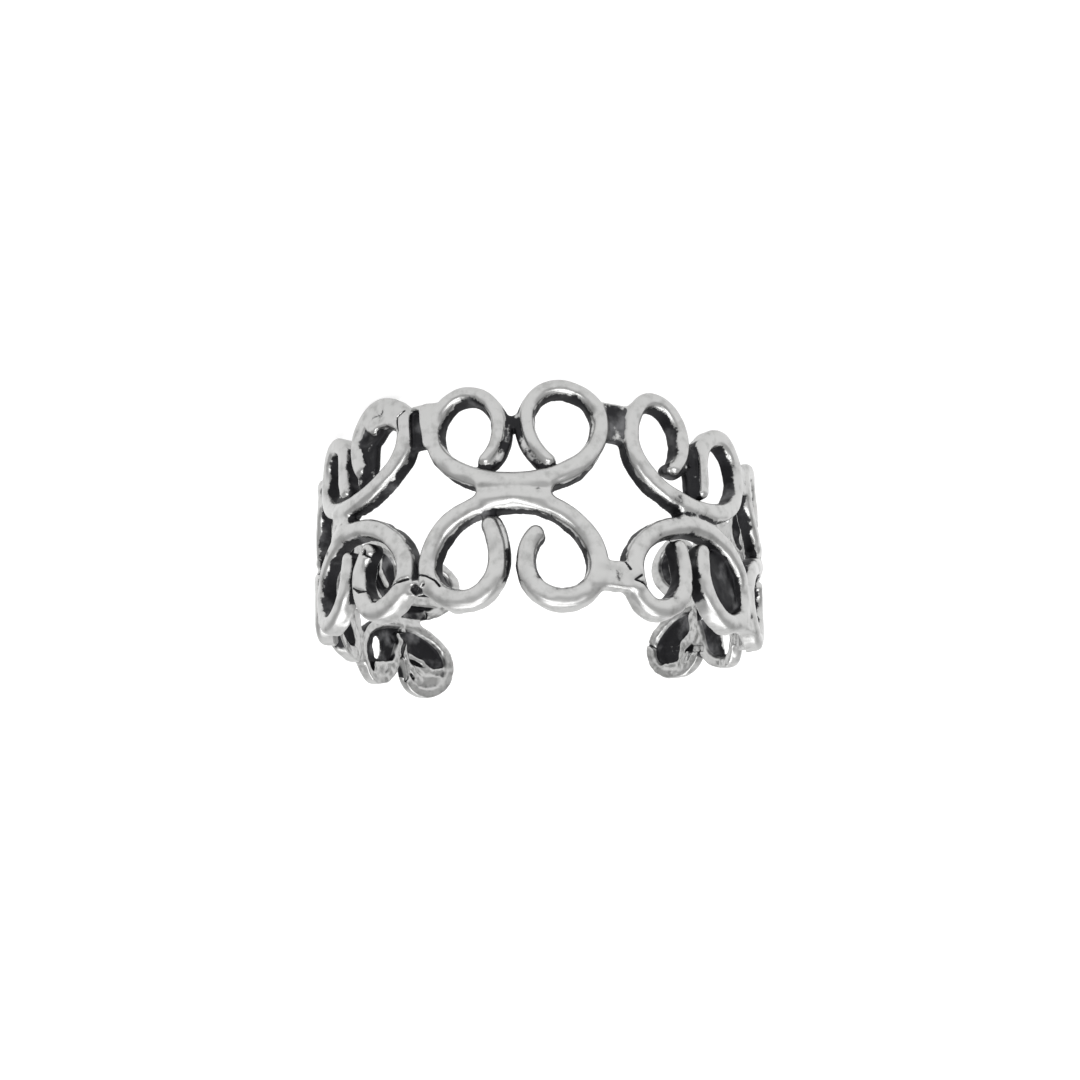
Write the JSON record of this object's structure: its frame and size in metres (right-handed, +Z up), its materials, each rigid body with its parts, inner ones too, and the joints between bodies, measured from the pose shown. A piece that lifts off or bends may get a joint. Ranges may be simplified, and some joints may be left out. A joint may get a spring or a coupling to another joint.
{
  "type": "open toe ring",
  "caption": "Open adjustable toe ring cast as a band of pierced filigree scrolls, with a gap at the back.",
  "frame": {"origin": "on the ring's axis, level with the lowest point of the lower edge that it rests on", "axes": "+Z up along the ring's axis, -Y towards the middle of the band, +Y out of the gap at the back"},
  "size_m": [0.018, 0.0164, 0.0082],
  "materials": {
    "silver": "antiqued silver: polished high faces, blackened recesses"
  },
  "bodies": {
    "root": {"scroll_band": "silver"}
  },
  "joints": []
}
